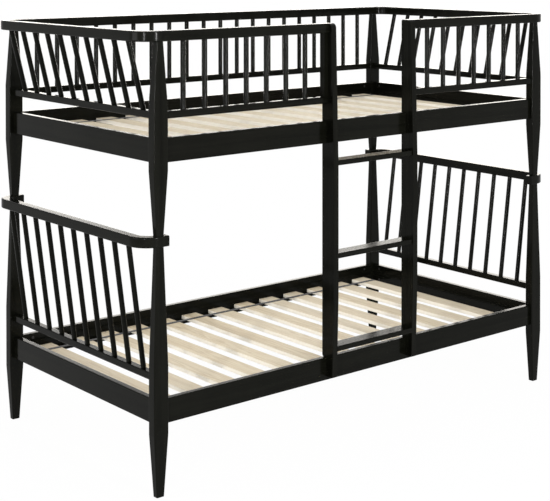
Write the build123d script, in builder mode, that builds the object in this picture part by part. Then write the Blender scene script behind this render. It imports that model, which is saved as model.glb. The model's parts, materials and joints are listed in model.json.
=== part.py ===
from build123d import *
import math
import os

os.makedirs("parts", exist_ok=True)

# Sizes are in millimetres. X runs along the bed, Y from the ladder side to the back, Z up.

# Sleeping space and the boards round it
inner_length = 1936.0
inner_width = 997.0
board_t = 24.0
board_h = 86.0
board_round = 3.0
lower_board_z = 247.0
upper_board_z = 1149.0

# Posts: slim at both ends, full width where the boards meet them
post_w = 59.0
post_d = 37.0
slim_w = 30.0
slim_d = 25.0
tip_w = 28.0
tip_d = 25.0
post_round = 4.0
full_below_board = 31.0
full_above_lower_board = 119.0
full_below_upper_board = 25.0
full_above_upper_board = 106.0

# U shaped caps that run round the head and foot ends
cap_w = 38.0
cap_h = 37.0
cap_round = 5.0
cap_bend = 61.0
cap_out = 60.0
cap_lap = 3.5
lower_cap_z = 862.0
upper_cap_z = 1568.0

# Spindle rails and round spindles
bar_h = 26.0
bar_w = 26.0
end_bar_w = 30.0
bar_round = 4.0
lower_bar_gap = 63.0
upper_bar_gap = 66.0
spindle_d = 19.0
spindle_in = 10.0
end_spindle_count = 10
end_spindle_margin = 75.5
guard_spindle_count = 20
guard_spindle_margin = 74.0
front_spindle_gap = 50.0

# Ladder
stile_t = 24.0
ladder_clear = 395.0
stile_lap = 24.0
stile_reach = 43.0
stile_reach_top = 29.0
stile_reach_foot = 34.0
stile_foot_up = 15.0
stile_foot_taper = 298.0
stile_top_taper = 544.0
stile_top_round = 18.0
stile_back_round = 8.0
stile_heel_round = 10.0
rung_t = 20.0
rung_back = 1.0
rung_front = 5.0
rung_over_board = 26.0
rung_under_board = 63.0
rung_count = 3
gate_stile_w = 16.0

# Slats, the cleats they lie on and the webbing that holds them apart
slat_count = 13
slat_w = 76.0
slat_t = 16.0
slat_end_gap = 3.0
slat_round = 2.0
cleat_w = 22.0
cleat_h = 16.5
strap_w = 18.0
strap_t = 1.5
strap_in = 78.5
strap_over = 3.0

# Fasteners
fit = 0.3
post_pin_d = 10.0
post_pin_in = 30.0
cap_pin_cover = 15.0
stud_d = 8.0
stud_in_post = 20.0
stud_in_board = 60.0
stud_edge = 17.0
nut_d = 12.0
nut_wall = 8.0
nut_set = 42.0
dowel_d = 8.0
dowel_in = 18.0
rung_dowel_edge = 12.5
slat_screw_d = 4.0
slat_screw_cover = 6.5
slat_head_d = 8.0
slat_head_h = 2.5
ladder_screw_d = 5.0
ladder_screw_bite = 22.0
ladder_screw_edge = 29.0
ladder_head_d = 10.0
ladder_head_h = 4.0

# Places worked out from the sizes above
half_l = inner_length / 2
half_w = inner_width / 2
post_x = half_l + board_t / 2
post_y = half_w + post_d / 2
post_in_x = post_x - post_w / 2
board_y = half_w + board_t / 2
cap_x = post_x + cap_out
cap_end = post_in_x - cap_lap
ladder_x = ladder_clear / 2
stile_out_x = ladder_x + stile_t
stile_face = half_w + board_t
stile_back = stile_face - stile_lap
stile_front = stile_face + stile_reach
# The bed's middle line lies behind the origin, so ladder and rear cap reach equally far
mid_y = (stile_front - (post_y + cap_w / 2)) / 2

lower_bar_z = lower_board_z + board_h + lower_bar_gap
upper_bar_z = upper_board_z + board_h + upper_bar_gap
upper_post_z = lower_cap_z + cap_h
top_z = upper_cap_z + cap_h
slat_pitch = (inner_length + slat_w) / (slat_count + 1)
slat_xs = [(i - (slat_count - 1) / 2) * slat_pitch for i in range(slat_count)]
gate_out_x = stile_out_x + gate_stile_w
rung_low = lower_board_z + board_h + rung_over_board + rung_t / 2
rung_high = upper_board_z - rung_under_board - rung_t / 2


def spread(first, last, count):
    # Evenly spaced places from first to last
    return [first + i * (last - first) / (count - 1) for i in range(count)]


end_spindle_last = half_w - end_spindle_margin
end_spindle_ys = spread(mid_y - end_spindle_last, mid_y + end_spindle_last, end_spindle_count)
rear_spindle_last = post_in_x - guard_spindle_margin
rear_spindle_xs = spread(-rear_spindle_last, rear_spindle_last, guard_spindle_count)
front_spindle_from = gate_out_x + front_spindle_gap + spindle_d / 2
front_spindle_xs = [x for x in rear_spindle_xs if x > front_spindle_from]
rung_zs = spread(rung_low, rung_high, rung_count)
levels = [("lower", lower_board_z), ("upper", upper_board_z)]
corners = [("fl", -1, -1), ("fr", 1, -1), ("bl", -1, 1), ("br", 1, 1)]
ends = [("left", -1), ("right", 1)]

# Fastener spots: each list serves the fasteners and the holes they sit in
along_x = (0, 90, 0)
along_y = (90, 0, 0)
back_to_front = (-90, 0, 0)
lower_pin_l = cap_h + 2 * post_pin_in
lower_pin_z = lower_cap_z + cap_h / 2
lower_pins = [Location((sx * post_x, mid_y + sy * post_y, lower_pin_z)) for _, sx, sy in corners]
cap_pin_in = cap_h - cap_pin_cover
upper_pin_l = post_pin_in + cap_pin_in
upper_pin_z = upper_cap_z + (cap_pin_in - post_pin_in) / 2
upper_pins = [Location((sx * post_x, mid_y + sy * post_y, upper_pin_z)) for _, sx, sy in corners]

stud_l = stud_in_post + stud_in_board
stud_mid = (stud_in_board - stud_in_post) / 2
nut_l = board_t - nut_wall
studs = []
nuts = []
for _, board_z in levels:
    for stud_z in (board_z + stud_edge, board_z + board_h - stud_edge):
        for _, sx, sy in corners:
            side_y = mid_y + sy * board_y
            studs.append(Location((sx * (post_in_x - stud_mid), side_y, stud_z), along_x))
            end_y = mid_y + sy * (half_w - stud_mid)
            studs.append(Location((sx * post_x, end_y, stud_z), along_y))
            nut_y = mid_y + sy * (half_w + nut_l / 2)
            nuts.append(Location((sx * (post_in_x - nut_set), nut_y, stud_z), along_y))
            nut_x = sx * (half_l + nut_l / 2)
            nuts.append(Location((nut_x, mid_y + sy * (half_w - nut_set), stud_z), along_x))

dowels = []
for _, sx, sy in corners:
    joint_y = mid_y + sy * post_y
    dowels.append(Location((sx * cap_end, joint_y, upper_cap_z + cap_h / 2), along_x))
    dowels.append(Location((sx * post_in_x, joint_y, upper_bar_z + bar_h / 2), along_x))
    for bar_z in (lower_bar_z, upper_bar_z):
        dowels.append(Location((sx * post_x, mid_y + sy * half_w, bar_z + bar_h / 2), along_y))
for _, sx in ends:
    for joint_z in (upper_cap_z + cap_h / 2, upper_bar_z + bar_h / 2):
        dowels.append(Location((sx * stile_out_x, mid_y - post_y, joint_z), along_x))
rung_y0 = mid_y - stile_front + rung_front
rung_y1 = mid_y - stile_back - rung_back
for rung_z in rung_zs:
    for _, sx in ends:
        for rung_y in (rung_y0 + rung_dowel_edge, rung_y1 - rung_dowel_edge):
            dowels.append(Location((sx * ladder_x, rung_y, rung_z), along_x))

slat_screw_l = cleat_h + slat_t - slat_screw_cover
slat_screws = [
    Location((x, mid_y + sy * (half_w - cleat_w / 2), board_z + cleat_h + slat_t))
    for _, board_z in levels
    for x in slat_xs
    for sy in (-1, 1)
]
ladder_screws = [
    Location((sx * (ladder_x + stile_t / 2), mid_y - half_w, screw_z), back_to_front)
    for _, board_z in levels
    for screw_z in (board_z + ladder_screw_edge, board_z + board_h - ladder_screw_edge)
    for _, sx in ends
]


def bore(spots, diameter, length):
    # Clearance holes for straight pins, as long as the pins themselves
    with Locations(*spots):
        Cylinder(diameter / 2 + fit, length, mode=Mode.SUBTRACT)


def bore_fasteners():
    bore(studs, stud_d, stud_l)
    bore(nuts, nut_d, nut_l)
    bore(dowels, dowel_d, 2 * dowel_in)


def screw(spots, shank_d, length, head_d, head_h, gap, mode):
    # A flat headed screw whose head top is at the spot and whose shank points down its own Z
    down = (Align.CENTER, Align.CENTER, Align.MAX)
    with Locations(*spots):
        Cylinder(head_d / 2 + gap, head_h, align=down, mode=mode)
        Cylinder(shank_d / 2 + gap, length, align=down, mode=mode)


def end_spindle_spots(sx, bar_z, cap_z):
    # Axis runs from the spindle rail over the posts out to the middle of the cap
    rise = cap_z - bar_z - bar_h
    lean = math.degrees(math.atan2(cap_out, rise))
    x = sx * (post_x + cap_out / 2)
    return [Location((x, y, bar_z + bar_h + rise / 2), (0, sx * lean, 0)) for y in end_spindle_ys]


def end_spindle_l(bar_z, cap_z):
    return math.hypot(cap_out, cap_z - bar_z - bar_h) + 2 * spindle_in


def guard_spindle_spots(xs, y):
    mid_z = (upper_bar_z + bar_h + upper_cap_z) / 2
    return [Location((x, y, mid_z)) for x in xs]


guard_spindle_l = upper_cap_z - upper_bar_z - bar_h + 2 * spindle_in
front_y = mid_y - post_y
rear_y = mid_y + post_y

# Posts
for tag, sx, sy in corners:
    with BuildPart() as lower_post:
        lower_sections = [
            (0.0, slim_w, slim_d),
            (lower_board_z - full_below_board, post_w, post_d),
            (lower_board_z + board_h + full_above_lower_board, post_w, post_d),
            (lower_cap_z, slim_w, slim_d),
        ]
        for z, w, d in lower_sections:
            with BuildSketch(Plane.XY.offset(z)):
                with Locations((sx * post_x, mid_y + sy * post_y)):
                    RectangleRounded(w, d, post_round)
        loft(ruled=True)
        bore(lower_pins, post_pin_d, lower_pin_l)
        bore_fasteners()
    lower_post.part.label = f"lower_post_{tag}"
    export_step(lower_post.part, f"parts/lower_post_{tag}.step")

    with BuildPart() as upper_post:
        upper_sections = [
            (upper_post_z, slim_w, slim_d),
            (upper_board_z - full_below_upper_board, post_w, post_d),
            (upper_board_z + board_h + full_above_upper_board, post_w, post_d),
            (upper_cap_z, tip_w, tip_d),
        ]
        for z, w, d in upper_sections:
            with BuildSketch(Plane.XY.offset(z)):
                with Locations((sx * post_x, mid_y + sy * post_y)):
                    RectangleRounded(w, d, post_round)
        loft(ruled=True)
        bore(lower_pins, post_pin_d, lower_pin_l)
        bore(upper_pins, post_pin_d, upper_pin_l)
        bore_fasteners()
    upper_post.part.label = f"upper_post_{tag}"
    export_step(upper_post.part, f"parts/upper_post_{tag}.step")

# Head and foot ends at both levels: cap, spindle rail, spindles and end board
for level, cap_z, bar_z, board_z in (
    ("lower", lower_cap_z, lower_bar_z, lower_board_z),
    ("upper", upper_cap_z, upper_bar_z, upper_board_z),
):
    for side, sx in ends:
        spots = end_spindle_spots(sx, bar_z, cap_z)
        length = end_spindle_l(bar_z, cap_z)
        with BuildPart() as end_cap:
            mid_z = cap_z + cap_h / 2
            with BuildLine() as run:
                FilletPolyline(
                    (sx * cap_end, front_y, mid_z),
                    (sx * cap_x, front_y, mid_z),
                    (sx * cap_x, rear_y, mid_z),
                    (sx * cap_end, rear_y, mid_z),
                    radius=cap_bend,
                )
            start = Plane((sx * cap_end, front_y, mid_z), x_dir=(0, 1, 0), z_dir=(sx, 0, 0))
            with BuildSketch(start):
                RectangleRounded(cap_w, cap_h, cap_round)
            sweep()
            bore(spots, spindle_d, length)
            bore(lower_pins, post_pin_d, lower_pin_l)
            bore(upper_pins, post_pin_d, upper_pin_l)
            bore(dowels, dowel_d, 2 * dowel_in)
        end_cap.part.label = f"{level}_cap_{side}"
        export_step(end_cap.part, f"parts/{level}_cap_{side}.step")

        with BuildPart() as end_bar:
            with BuildSketch(Plane.XZ.offset(-mid_y)):
                with Locations((sx * post_x, bar_z + bar_h / 2)):
                    RectangleRounded(end_bar_w, bar_h, bar_round)
            extrude(amount=half_w, both=True)
            bore(spots, spindle_d, length)
            bore_fasteners()
        end_bar.part.label = f"{level}_end_bar_{side}"
        export_step(end_bar.part, f"parts/{level}_end_bar_{side}.step")

        with BuildPart() as end_spindles:
            with Locations(*spots):
                Cylinder(spindle_d / 2, length)
        end_spindles.part.label = f"{level}_end_spindles_{side}"
        export_step(end_spindles.part, f"parts/{level}_end_spindles_{side}.step")

        with BuildPart() as end_board:
            with BuildSketch(Plane.XZ.offset(-mid_y)):
                with Locations((sx * post_x, board_z + board_h / 2)):
                    RectangleRounded(board_t, board_h, board_round)
            extrude(amount=half_w, both=True)
            bore_fasteners()
        end_board.part.label = f"{level}_end_board_{side}"
        export_step(end_board.part, f"parts/{level}_end_board_{side}.step")

# Side boards and the cleats inside them
for level, board_z in levels:
    for side, sy in (("front", -1), ("rear", 1)):
        with BuildPart() as side_board:
            with BuildSketch(Plane.YZ):
                with Locations((mid_y + sy * board_y, board_z + board_h / 2)):
                    RectangleRounded(board_t, board_h, board_round)
            extrude(amount=post_in_x, both=True)
            bore_fasteners()
            screw(
                ladder_screws, ladder_screw_d, board_t + ladder_screw_bite,
                ladder_head_d, ladder_head_h, fit, Mode.SUBTRACT,
            )
        side_board.part.label = f"{level}_side_board_{side}"
        export_step(side_board.part, f"parts/{level}_side_board_{side}.step")

        with BuildPart() as cleat:
            with BuildSketch(Plane.YZ):
                with Locations((mid_y + sy * (half_w - cleat_w / 2), board_z + cleat_h / 2)):
                    Rectangle(cleat_w, cleat_h)
            extrude(amount=slat_xs[-1] + slat_w / 2, both=True)
            screw(
                slat_screws, slat_screw_d, slat_screw_l,
                slat_head_d, slat_head_h, fit, Mode.SUBTRACT,
            )
        cleat.part.label = f"{level}_cleat_{side}"
        export_step(cleat.part, f"parts/{level}_cleat_{side}.step")

# Slats and webbing
for level, board_z in levels:
    slat_z = board_z + cleat_h
    with BuildPart() as slats:
        with BuildSketch(Plane.XZ.offset(-mid_y)):
            with Locations(*[(x, slat_z + slat_t / 2) for x in slat_xs]):
                RectangleRounded(slat_w, slat_t, slat_round)
        extrude(amount=half_w - slat_end_gap, both=True)
        screw(
            slat_screws, slat_screw_d, slat_screw_l,
            slat_head_d, slat_head_h, fit, Mode.SUBTRACT,
        )
    slats.part.label = f"{level}_slats"
    export_step(slats.part, f"parts/{level}_slats.step")

    with BuildPart() as straps:
        strap_l = slat_xs[-1] - slat_xs[0] + slat_w - 2 * strap_over
        spots = [(0, mid_y + s * (half_w - strap_in), slat_z + slat_t) for s in (-1, 1)]
        with Locations(*spots):
            Box(strap_l, strap_w, strap_t, align=(Align.CENTER, Align.CENTER, Align.MIN))
    straps.part.label = f"{level}_straps"
    export_step(straps.part, f"parts/{level}_straps.step")

with BuildPart() as slat_screw_set:
    screw(
        slat_screws, slat_screw_d, slat_screw_l,
        slat_head_d, slat_head_h, 0.0, Mode.ADD,
    )
slat_screw_set.part.label = "slat_screws"
export_step(slat_screw_set.part, "parts/slat_screws.step")

# Rear guard along the whole back
rear_spots = guard_spindle_spots(rear_spindle_xs, rear_y)
with BuildPart() as rear_top:
    with BuildSketch(Plane.YZ):
        with Locations((rear_y, upper_cap_z + cap_h / 2)):
            RectangleRounded(cap_w, cap_h, cap_round)
    extrude(amount=cap_end, both=True)
    bore(rear_spots, spindle_d, guard_spindle_l)
    bore(dowels, dowel_d, 2 * dowel_in)
rear_top.part.label = "rear_guard_top"
export_step(rear_top.part, "parts/rear_guard_top.step")

with BuildPart() as rear_bar:
    with BuildSketch(Plane.YZ):
        with Locations((rear_y, upper_bar_z + bar_h / 2)):
            RectangleRounded(bar_w, bar_h, bar_round)
    extrude(amount=post_in_x, both=True)
    bore(rear_spots, spindle_d, guard_spindle_l)
    bore(dowels, dowel_d, 2 * dowel_in)
rear_bar.part.label = "rear_guard_bar"
export_step(rear_bar.part, "parts/rear_guard_bar.step")

with BuildPart() as rear_spindles:
    with Locations(*rear_spots):
        Cylinder(spindle_d / 2, guard_spindle_l)
rear_spindles.part.label = "rear_guard_spindles"
export_step(rear_spindles.part, "parts/rear_guard_spindles.step")

# Front guards on both sides of the ladder, each with a gate stile beside it
for side, sx in ends:
    spots = guard_spindle_spots([sx * x for x in front_spindle_xs], front_y)
    away = Plane.YZ.offset(sx * stile_out_x)
    with BuildPart() as front_top:
        with BuildSketch(away):
            with Locations((front_y, upper_cap_z + cap_h / 2)):
                RectangleRounded(cap_w, cap_h, cap_round)
        extrude(amount=sx * (cap_end - stile_out_x))
        bore(spots, spindle_d, guard_spindle_l)
        bore(dowels, dowel_d, 2 * dowel_in)
    front_top.part.label = f"front_guard_top_{side}"
    export_step(front_top.part, f"parts/front_guard_top_{side}.step")

    with BuildPart() as front_bar:
        with BuildSketch(away):
            with Locations((front_y, upper_bar_z + bar_h / 2)):
                RectangleRounded(bar_w, bar_h, bar_round)
        extrude(amount=sx * (post_in_x - stile_out_x))
        bore(spots, spindle_d, guard_spindle_l)
        bore(dowels, dowel_d, 2 * dowel_in)
    front_bar.part.label = f"front_guard_bar_{side}"
    export_step(front_bar.part, f"parts/front_guard_bar_{side}.step")

    with BuildPart() as front_spindles_set:
        with Locations(*spots):
            Cylinder(spindle_d / 2, guard_spindle_l)
    front_spindles_set.part.label = f"front_guard_spindles_{side}"
    export_step(front_spindles_set.part, f"parts/front_guard_spindles_{side}.step")

    with BuildPart() as gate_stile:
        with BuildSketch(Plane.XY.offset(upper_bar_z + bar_h)):
            with Locations((sx * (gate_out_x - gate_stile_w / 2), front_y)):
                Rectangle(gate_stile_w, bar_w)
        extrude(amount=upper_cap_z - upper_bar_z - bar_h)
    gate_stile.part.label = f"gate_stile_{side}"
    export_step(gate_stile.part, f"parts/gate_stile_{side}.step")

# Ladder stiles, notched round the side boards
for side, sx in ends:
    face_y = mid_y - stile_face
    back_y = mid_y - stile_back
    lower_top = lower_board_z + board_h
    upper_top = upper_board_z + board_h
    foot_z = lower_board_z + stile_foot_up
    with BuildPart() as ladder_stile:
        with BuildSketch(Plane.YZ.offset(sx * (ladder_x + stile_t / 2))):
            with BuildLine():
                Polyline(
                    (face_y, foot_z),
                    (face_y - stile_reach_foot, foot_z),
                    (face_y - stile_reach, foot_z + stile_foot_taper),
                    (face_y - stile_reach, top_z - stile_top_taper),
                    (face_y - stile_reach_top, top_z),
                    (back_y, top_z),
                    (back_y, upper_top),
                    (face_y, upper_top),
                    (face_y, upper_board_z),
                    (back_y, upper_board_z),
                    (back_y, lower_top),
                    (face_y, lower_top),
                    close=True,
                )
            make_face()
        extrude(amount=stile_t / 2, both=True)
        across = ladder_stile.edges().filter_by(Axis.X)
        fillet(across.group_by(Axis.Z)[-1].sort_by(Axis.Y)[-1], radius=stile_back_round)
        across = ladder_stile.edges().filter_by(Axis.X)
        fillet(across.group_by(Axis.Z)[-1].sort_by(Axis.Y)[0], radius=stile_top_round)
        across = ladder_stile.edges().filter_by(Axis.X)
        heel = across.sort_by_distance((sx * ladder_x, back_y, lower_top))[0]
        fillet(heel, radius=stile_heel_round)
        bore(dowels, dowel_d, 2 * dowel_in)
        screw(
            ladder_screws, ladder_screw_d, board_t + ladder_screw_bite,
            ladder_head_d, ladder_head_h, fit, Mode.SUBTRACT,
        )
    ladder_stile.part.label = f"ladder_stile_{side}"
    export_step(ladder_stile.part, f"parts/ladder_stile_{side}.step")

for i, rung_z in enumerate(rung_zs):
    with BuildPart() as rung:
        with BuildSketch(Plane.YZ):
            with Locations(((rung_y0 + rung_y1) / 2, rung_z)):
                RectangleRounded(rung_y1 - rung_y0, rung_t, board_round)
        extrude(amount=ladder_x, both=True)
        bore(dowels, dowel_d, 2 * dowel_in)
    rung.part.label = f"rung_{i + 1}"
    export_step(rung.part, f"parts/rung_{i + 1}.step")

# Fasteners
with BuildPart() as post_pins:
    with Locations(*lower_pins):
        Cylinder(post_pin_d / 2, lower_pin_l)
    with Locations(*upper_pins):
        Cylinder(post_pin_d / 2, upper_pin_l)
post_pins.part.label = "post_pins"
export_step(post_pins.part, "parts/post_pins.step")

with BuildPart() as board_studs:
    with Locations(*studs):
        Cylinder(stud_d / 2, stud_l)
board_studs.part.label = "board_studs"
export_step(board_studs.part, "parts/board_studs.step")

with BuildPart() as barrel_nuts:
    with Locations(*nuts):
        Cylinder(nut_d / 2, nut_l)
    bore(studs, stud_d, stud_l)
barrel_nuts.part.label = "barrel_nuts"
export_step(barrel_nuts.part, "parts/barrel_nuts.step")

with BuildPart() as dowel_pins:
    with Locations(*dowels):
        Cylinder(dowel_d / 2, 2 * dowel_in)
dowel_pins.part.label = "dowel_pins"
export_step(dowel_pins.part, "parts/dowel_pins.step")

with BuildPart() as ladder_screw_set:
    screw(
        ladder_screws, ladder_screw_d, board_t + ladder_screw_bite,
        ladder_head_d, ladder_head_h, 0.0, Mode.ADD,
    )
ladder_screw_set.part.label = "ladder_screws"
export_step(ladder_screw_set.part, "parts/ladder_screws.step")
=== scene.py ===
import json
import math

import bpy
from mathutils import Matrix, Vector


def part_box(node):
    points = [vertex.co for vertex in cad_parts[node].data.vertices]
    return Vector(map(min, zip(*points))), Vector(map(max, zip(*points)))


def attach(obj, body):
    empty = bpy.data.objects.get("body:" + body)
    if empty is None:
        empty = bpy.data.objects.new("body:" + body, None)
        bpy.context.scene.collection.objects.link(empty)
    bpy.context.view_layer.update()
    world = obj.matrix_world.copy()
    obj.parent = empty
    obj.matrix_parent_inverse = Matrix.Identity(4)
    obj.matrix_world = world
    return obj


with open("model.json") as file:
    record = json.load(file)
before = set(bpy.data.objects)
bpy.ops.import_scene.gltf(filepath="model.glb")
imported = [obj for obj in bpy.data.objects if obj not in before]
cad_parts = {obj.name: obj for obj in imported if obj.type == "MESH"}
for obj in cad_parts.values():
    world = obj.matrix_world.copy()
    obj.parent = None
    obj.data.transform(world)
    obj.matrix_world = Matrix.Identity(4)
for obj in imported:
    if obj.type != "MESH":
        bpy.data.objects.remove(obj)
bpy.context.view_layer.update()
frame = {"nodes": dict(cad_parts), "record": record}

# Picture the camera was solved for: width and height in pixels, focal length, principal point
PICTURE_W = 550
PICTURE_H = 501
FOCAL_PX = 1353.55
CENTRE_X_PX = 317.94
CENTRE_Y_PX = -30.32
# Camera place in metres from the bed's origin on the floor, and its angles in radians
CAMERA_AT = (-3.57617, -4.38764, 1.87183)
CAMERA_YAW = 0.7067
CAMERA_PITCH = 0.0124
CAMERA_ROLL = -0.0001
SENSOR_MM = 36.0
CLIP_END = 100.0

# The slats and tapes of part.py, and a height between the two decks
SLAT_COUNT = 13
SLAT_WIDTH = 0.076
STRAP_WIDTH = 0.018
DECK_SPLIT_Z = 0.7
# A staple's wire width along X, its length across the tape along Y, and its height
STAPLE = (0.0012, 0.0110, 0.0008)
# Corners of a box's six faces, numbered as add_box makes them
BOX_FACES = ((0, 1, 3, 2), (4, 6, 7, 5), (0, 4, 5, 1), (2, 3, 7, 6), (0, 2, 6, 4), (1, 5, 7, 3))

FLOOR_SIZE = 60.0
# The floor shows the bed's faint shadow near it and fades to plain white further out
SHADOW_FROM = 1.2
SHADOW_TO = 2.6
SHADOW_CLEAR = 0.975

# Linear colours
WHITE = (1.0, 1.0, 1.0)
WARM = (1.0, 0.95, 0.86)
STUDIO_GREY = (0.60, 0.60, 0.60)
FLOOR_GREY = (0.80, 0.80, 0.80)
LACQUER_DEEP = (0.0018, 0.0019, 0.0012)
LACQUER_LIGHT = (0.0046, 0.0047, 0.0033)
PINE_PALE = (0.730, 0.645, 0.485)
PINE_HONEY = (0.610, 0.495, 0.325)
PINE_LATE = (0.450, 0.330, 0.185)
PINE_BLEACHED = (0.80, 0.73, 0.60)
PINE_KNOT = (0.26, 0.15, 0.07)
# Painted highlight colour for the slats' long side faces
PINE_SIDE_HIGHLIGHT = (0.94, 0.89, 0.79)
BEECH_DEEP = (0.50, 0.34, 0.21)
BEECH_LIGHT = (0.62, 0.45, 0.29)
TAPE_DEEP = (0.003, 0.003, 0.003)
TAPE_LIGHT = (0.016, 0.015, 0.014)
ZINC_DEEP = (0.46, 0.46, 0.48)
ZINC_LIGHT = (0.62, 0.62, 0.63)
OXIDE_DEEP = (0.010, 0.010, 0.010)
OXIDE_LIGHT = (0.030, 0.029, 0.028)

# Each slat's own number and offset, so that no two slats show the same board
UPPER_DECK_KEY = 31.0
BOARD_OFFSET = (3.0, 7.0, 5.0)

# Points that the lamps face
BED_MIDDLE = (0.0, 0.0, 0.7)
UPPER_MIDDLE = (0.0, 0.0, 0.9)
NEAR_CORNER = (-1.0, -0.5, 1.3)
# Name, place, point it faces, width and height, watts, colour
LAMPS = (
    ("key", (-1.0, -5.0, 3.4), BED_MIDDLE, (3.0, 2.0), 45.0, WHITE),
    ("fill", (-5.5, 0.8, 1.7), BED_MIDDLE, (2.5, 2.5), 90.0, WHITE),
    ("top", (0.5, 0.5, 4.5), BED_MIDDLE, (4.0, 3.0), 50.0, WHITE),
    # A low warm lamp behind the bed brightens tops that are seen at a flat angle
    ("rim", (4.2, 5.0, 1.2), UPPER_MIDDLE, (6.0, 2.0), 160.0, WARM),
    # Tall narrow lamps draw the bright lines on rounded corners, edges and spindles
    ("strip_front", (-0.5, -5.4, 1.6), NEAR_CORNER, (0.09, 2.4), 210.0, WHITE),
    ("strip_left", (-5.3, -3.5, 1.8), NEAR_CORNER, (0.09, 2.4), 150.0, WHITE),
)


def add_object(name, data):
    thing = bpy.data.objects.new(name, data)
    bpy.context.scene.collection.objects.link(thing)
    return thing


def make_camera():
    data = bpy.data.cameras.new("camera")
    data.sensor_fit = "HORIZONTAL"
    data.sensor_width = SENSOR_MM
    data.lens = FOCAL_PX / PICTURE_W * SENSOR_MM
    data.shift_x = (PICTURE_W / 2 - CENTRE_X_PX) / PICTURE_W
    data.shift_y = (CENTRE_Y_PX - PICTURE_H / 2) / PICTURE_W
    data.clip_end = CLIP_END
    camera = add_object("camera", data)
    ahead = Vector((
        math.sin(CAMERA_YAW) * math.cos(CAMERA_PITCH),
        math.cos(CAMERA_YAW) * math.cos(CAMERA_PITCH),
        -math.sin(CAMERA_PITCH),
    ))
    level = Vector((math.cos(CAMERA_YAW), -math.sin(CAMERA_YAW), 0.0))
    above = level.cross(ahead)
    right = level * math.cos(CAMERA_ROLL) + above * math.sin(CAMERA_ROLL)
    up = above * math.cos(CAMERA_ROLL) - level * math.sin(CAMERA_ROLL)
    turn = Matrix((right, up, -ahead)).transposed().to_4x4()
    camera.matrix_world = Matrix.Translation(CAMERA_AT) @ turn
    bpy.context.scene.camera = camera


def rgba(colour):
    return (*colour, 1.0)


class Shader:
    """A short way to build a node tree."""

    def __init__(self, tree):
        self.tree = tree
        tree.nodes.clear()

    def add(self, kind, inputs=None, **settings):
        node = self.tree.nodes.new(kind)
        for key, value in settings.items():
            setattr(node, key, value)
        for key, value in (inputs or {}).items():
            if isinstance(value, bpy.types.NodeSocket):
                self.tree.links.new(value, node.inputs[key])
            else:
                node.inputs[key].default_value = value
        return node

    def coordinates(self, kind="Object"):
        return self.add("ShaderNodeTexCoord").outputs[kind]

    def axis(self, vector, axis):
        return self.add("ShaderNodeSeparateXYZ", {0: vector}).outputs[axis]

    def math(self, operation, a, b=0.0):
        return self.add("ShaderNodeMath", {0: a, 1: b}, operation=operation).outputs[0]

    def vector(self, operation, a, b):
        return self.add("ShaderNodeVectorMath", {0: a, 1: b}, operation=operation).outputs[0]

    def share(self, part, a, b):
        # The first value's part, and the rest of the second
        first = self.math("MULTIPLY", a, part)
        return self.math("ADD", first, self.math("MULTIPLY", b, 1.0 - part))

    def ramp(self, value, low, high, to_low=0.0, to_high=1.0):
        node = self.add("ShaderNodeMapRange", {
            "Value": value, "From Min": low, "From Max": high, "To Min": to_low, "To Max": to_high,
        })
        return node.outputs["Result"]

    def mix(self, amount, a, b):
        # A colour mix node's own sockets come after those for plain numbers and vectors
        node = self.add("ShaderNodeMix", {0: amount}, data_type="RGBA")
        for socket, colour in zip(node.inputs[6:8], (a, b)):
            if isinstance(colour, bpy.types.NodeSocket):
                self.tree.links.new(colour, socket)
            else:
                socket.default_value = rgba(colour)
        return node.outputs[2]

    def noise(self, place, scale=1.0, detail=4.0, rough=0.55, distortion=0.0):
        node = self.add("ShaderNodeTexNoise", {
            "Vector": place, "Scale": scale, "Detail": detail, "Roughness": rough,
            "Distortion": distortion,
        })
        return node.outputs["Fac"]

    def stretch(self, place, way, along, across):
        # Coordinates for grain that runs along one axis: slow along it, quick across it
        scale = [across] * 3
        scale["XYZ".index(way)] = along
        return self.add("ShaderNodeMapping", {"Vector": place, "Scale": scale}).outputs["Vector"]

    def grain(self, place, way, along, across, **settings):
        return self.noise(self.stretch(place, way, along, across), **settings)

    def wave(self, place, way, scale, distortion):
        node = self.add("ShaderNodeTexWave", {
            "Vector": place, "Scale": scale, "Distortion": distortion,
        }, bands_direction=way)
        return node.outputs["Fac"]

    def bump(self, height, distance, strength, under=None):
        inputs = {"Height": height, "Distance": distance, "Strength": strength}
        if under is not None:
            inputs["Normal"] = under
        return self.add("ShaderNodeBump", inputs).outputs["Normal"]

    def seen(self):
        # 1 where the camera sees a surface itself, in a reflection or through glass
        path = self.add("ShaderNodeLightPath").outputs
        direct = self.math("MAXIMUM", path["Is Camera Ray"], path["Is Glossy Ray"])
        return self.math("MAXIMUM", direct, path["Is Transmission Ray"])

    def principled(self, inputs):
        shader = self.add("ShaderNodeBsdfPrincipled", inputs)
        self.add("ShaderNodeOutputMaterial", {"Surface": shader.outputs[0]})


def new_material(name):
    material = bpy.data.materials.new(name)
    material.use_nodes = True
    return material, Shader(material.node_tree)


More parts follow.
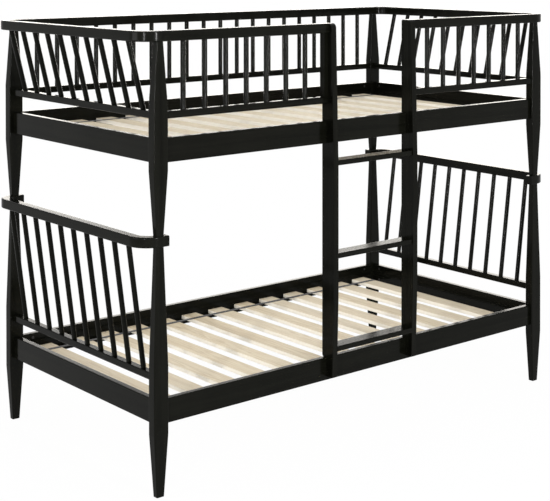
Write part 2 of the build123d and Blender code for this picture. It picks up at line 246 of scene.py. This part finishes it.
def black_lacquer(way):
    # Satin black lacquer on solid wood, with the open grain just showing through
    material, s = new_material(f"black_lacquer_{way.lower()}")
    place = s.coordinates()
    pores = s.grain(place, way, along=9.0, across=320.0, detail=5.0, rough=0.62)
    rings = s.grain(place, way, along=1.4, across=46.0, detail=3.0, rough=0.5, distortion=0.6)
    peel = s.noise(place, scale=420.0, detail=2.0, rough=0.5)
    clouds = s.noise(place, scale=5.0, detail=3.0, rough=0.5)
    tone = s.share(0.6, s.ramp(rings, 0.35, 0.65), s.ramp(clouds, 0.3, 0.7))
    wear = s.math("ADD", clouds, s.math("MULTIPLY", pores, 0.5))
    normal = s.bump(pores, distance=0.00012, strength=0.55)
    normal = s.bump(rings, distance=0.00040, strength=0.35, under=normal)
    normal = s.bump(peel, distance=0.00006, strength=0.45, under=normal)
    # The low IOR keeps it black in white surroundings, and a thin coat draws its bright lines
    s.principled({
        "Base Color": s.mix(tone, LACQUER_DEEP, LACQUER_LIGHT),
        "Roughness": s.ramp(wear, 0.5, 1.0, to_low=0.13, to_high=0.22),
        "IOR": 1.12, "Normal": normal,
        "Coat Weight": 0.06, "Coat Roughness": 0.09, "Coat IOR": 1.50,
    })
    return material


def slat_pitch(low, high):
    return (high[0] - low[0] - SLAT_WIDTH) / (SLAT_COUNT - 1)


def slat_pine():
    # Planed pale softwood, grain along Y, each slat with its own board and tone
    material, s = new_material("slat_pine")
    low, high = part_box("lower_slats")
    place = s.coordinates()
    row = s.math("ROUND", s.math("DIVIDE", s.axis(place, "X"), slat_pitch(low, high)))
    upper = s.math("GREATER_THAN", s.axis(place, "Z"), DECK_SPLIT_Z)
    key = s.math("ADD", row, s.math("MULTIPLY", upper, UPPER_DECK_KEY))
    chance = s.add("ShaderNodeTexWhiteNoise", {"W": key}, noise_dimensions="1D").outputs
    board = s.vector("ADD", place, s.vector("MULTIPLY", chance["Color"], BOARD_OFFSET))

    drift = s.grain(board, "Y", along=1.6, across=9.0, detail=2.0, rough=0.5)
    rings = s.grain(board, "Y", along=0.9, across=30.0, detail=4.0, rough=0.55, distortion=1.4)
    lines = s.math("FRACT", s.math("ADD", s.math("MULTIPLY", rings, 9.0), drift))
    lines = s.ramp(s.math("ABSOLUTE", s.math("SUBTRACT", lines, 0.5)), 0.18, 0.5)
    fibre = s.grain(board, "Y", along=22.0, across=900.0, detail=4.0, rough=0.6)
    knots = s.add("ShaderNodeTexVoronoi", {
        "Vector": s.stretch(board, "Y", along=2.6, across=7.0), "Scale": 1.0, "Randomness": 1.0,
    })
    knot = s.ramp(knots.outputs["Distance"], 0.10, 0.03)

    colour = s.mix(s.ramp(drift, 0.35, 0.75, to_high=0.55), PINE_PALE, PINE_HONEY)
    colour = s.mix(s.math("MULTIPLY", lines, 0.55), colour, PINE_LATE)
    colour = s.mix(s.ramp(chance["Value"], 0.0, 1.0, to_high=0.35), colour, PINE_BLEACHED)
    colour = s.mix(s.ramp(fibre, 0.45, 0.75, to_high=0.16), colour, PINE_LATE)
    colour = s.mix(s.math("MULTIPLY", knot, 0.75), colour, PINE_KNOT)
    # Painted highlight: the long side faces, whose normals run along X, are mixed towards a paler
    # colour to stand in for the light they catch
    side_highlight = s.math("ABSOLUTE", s.axis(s.coordinates("Normal"), "X"))
    colour = s.mix(s.ramp(side_highlight, 0.5, 0.9, to_high=0.8), colour, PINE_SIDE_HIGHLIGHT)

    normal = s.bump(fibre, distance=0.00015, strength=0.5)
    normal = s.bump(lines, distance=0.00020, strength=0.3, under=normal)
    s.principled({
        "Base Color": colour, "Roughness": s.ramp(fibre, 0.3, 0.7, to_low=0.52, to_high=0.68),
        "IOR": 1.45, "Normal": normal,
    })
    return material


def dowel_beech():
    material, s = new_material("dowel_beech")
    fleck = s.noise(s.coordinates(), scale=900.0, rough=0.6)
    s.principled({
        "Base Color": s.mix(fleck, BEECH_DEEP, BEECH_LIGHT),
        "Roughness": s.ramp(fleck, 0.3, 0.7, to_low=0.5, to_high=0.65),
        "Normal": s.bump(fleck, distance=0.0001, strength=0.5),
    })
    return material


def webbing():
    # Dark woven tape: warp ribs along X, weft picks across
    material, s = new_material("webbing")
    place = s.coordinates()
    warp = s.wave(place, "Y", scale=160.0, distortion=0.4)
    weft = s.wave(place, "X", scale=110.0, distortion=0.6)
    weave = s.math("MULTIPLY", warp, weft)
    fuzz = s.noise(place, scale=1500.0, detail=3.0, rough=0.6)
    s.principled({
        "Base Color": s.mix(s.share(0.7, weave, fuzz), TAPE_DEEP, TAPE_LIGHT),
        "Roughness": s.ramp(fuzz, 0.3, 0.7, to_low=0.75, to_high=0.92),
        "Sheen Weight": 0.2, "Normal": s.bump(weave, distance=0.0004, strength=0.8),
    })
    return material


def zinc_steel():
    material, s = new_material("zinc_steel")
    spangle = s.noise(s.coordinates(), scale=600.0, detail=3.0, rough=0.6)
    s.principled({
        "Base Color": s.mix(spangle, ZINC_DEEP, ZINC_LIGHT), "Metallic": 1.0,
        "Roughness": s.ramp(spangle, 0.3, 0.7, to_low=0.28, to_high=0.45),
        "Normal": s.bump(spangle, distance=0.00005, strength=0.4),
    })
    return material


def black_steel():
    # Black oxide on steel, with fine scratches
    material, s = new_material("black_steel")
    place = s.coordinates()
    patches = s.noise(place, scale=500.0, detail=3.0, rough=0.6)
    scratches = s.grain(place, "X", along=120.0, across=2600.0, detail=2.0, rough=0.5)
    s.principled({
        "Base Color": s.mix(patches, OXIDE_DEEP, OXIDE_LIGHT), "Metallic": 0.6,
        "Roughness": s.ramp(patches, 0.3, 0.7, to_low=0.35, to_high=0.5),
        "Normal": s.bump(scratches, distance=0.00004, strength=0.5),
    })
    return material


def grain_of(node):
    # The way the wood runs in a node: upright in posts, stiles and spindles, else its longest side
    if "spindles" in node or "post" in node or "stile" in node:
        return "Z"
    low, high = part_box(node)
    sides = [high[i] - low[i] for i in range(3)]
    return "XYZ"[sides.index(max(sides))]


def dress_nodes(steel):
    lacquers = {way: black_lacquer(way) for way in "XYZ"}
    plain = {
        "slat_wood": slat_pine(), "dowel_wood": dowel_beech(), "webbing": webbing(),
        "steel": steel, "dark_steel": black_steel(),
    }
    for entry in frame["record"]["subparts"]:
        node = entry["node"]
        slot = entry["material_slot"]
        material = lacquers[grain_of(node)] if slot == "black_lacquer" else plain[slot]
        mesh = frame["nodes"][node].data
        mesh.materials.clear()
        mesh.materials.append(material)


def add_box(points, faces, centre, size):
    first = len(points)
    for sx in (-0.5, 0.5):
        for sy in (-0.5, 0.5):
            for sz in (-0.5, 0.5):
                points.append([c + k * d for c, k, d in zip(centre, (sx, sy, sz), size)])
    for corners in BOX_FACES:
        faces.append([first + corner for corner in corners])


def make_staples(steel):
    # One staple holds each tape to each slat
    points, faces = [], []
    for level in ("lower", "upper"):
        slats_low, slats_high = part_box(f"{level}_slats")
        low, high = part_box(f"{level}_straps")
        for i in range(SLAT_COUNT):
            x = slats_low[0] + SLAT_WIDTH / 2 + i * slat_pitch(slats_low, slats_high)
            for y in (low[1] + STRAP_WIDTH / 2, high[1] - STRAP_WIDTH / 2):
                add_box(points, faces, (x, y, high[2]), STAPLE)
    mesh = bpy.data.meshes.new("strap_staples")
    mesh.from_pydata(points, [], faces)
    mesh.materials.append(steel)
    staples = add_object("strap_staples", mesh)
    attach(staples, "root")


def make_floor():
    half = FLOOR_SIZE / 2
    corners = [(-half, -half, 0), (half, -half, 0), (half, half, 0), (-half, half, 0)]
    mesh = bpy.data.meshes.new("floor")
    mesh.from_pydata(corners, [], [(0, 1, 2, 3)])
    floor = add_object("floor", mesh)
    material, s = new_material("floor")
    paint = s.add("ShaderNodeBsdfDiffuse", {"Color": rgba(FLOOR_GREY)})
    glow = s.add("ShaderNodeEmission", {"Color": rgba(WHITE), "Strength": 1.0})
    distance = s.add("ShaderNodeVectorMath", {0: s.coordinates()}, operation="LENGTH").outputs["Value"]
    clear = s.ramp(distance, SHADOW_FROM, SHADOW_TO, to_low=SHADOW_CLEAR)
    surface = s.add("ShaderNodeMixShader", {
        0: s.math("MULTIPLY", s.seen(), clear), 1: paint.outputs[0], 2: glow.outputs[0],
    })
    s.add("ShaderNodeOutputMaterial", {"Surface": surface.outputs[0]})
    mesh.materials.append(material)


def make_world():
    # Grey light on the bed, and plain white wherever the camera sees the surroundings
    world = bpy.data.worlds.new("studio")
    bpy.context.scene.world = world
    world.use_nodes = True
    s = Shader(world.node_tree)
    colour = s.mix(s.seen(), STUDIO_GREY, WHITE)
    background = s.add("ShaderNodeBackground", {"Color": colour, "Strength": 1.0})
    s.add("ShaderNodeOutputWorld", {"Surface": background.outputs[0]})


def soft_box(name, place, aim, size, power, colour):
    data = bpy.data.lights.new(name, "AREA")
    data.shape = "RECTANGLE"
    data.size, data.size_y = size
    data.energy = power
    data.color = colour
    light = add_object(name, data)
    light.location = place
    light.rotation_euler = (Vector(aim) - Vector(place)).to_track_quat("-Z", "Y").to_euler()
    light.visible_camera = False


steel = zinc_steel()
dress_nodes(steel)
make_staples(steel)
make_floor()
make_world()
for lamp in LAMPS:
    soft_box(*lamp)
make_camera()
bpy.context.scene.view_settings.view_transform = "Standard"
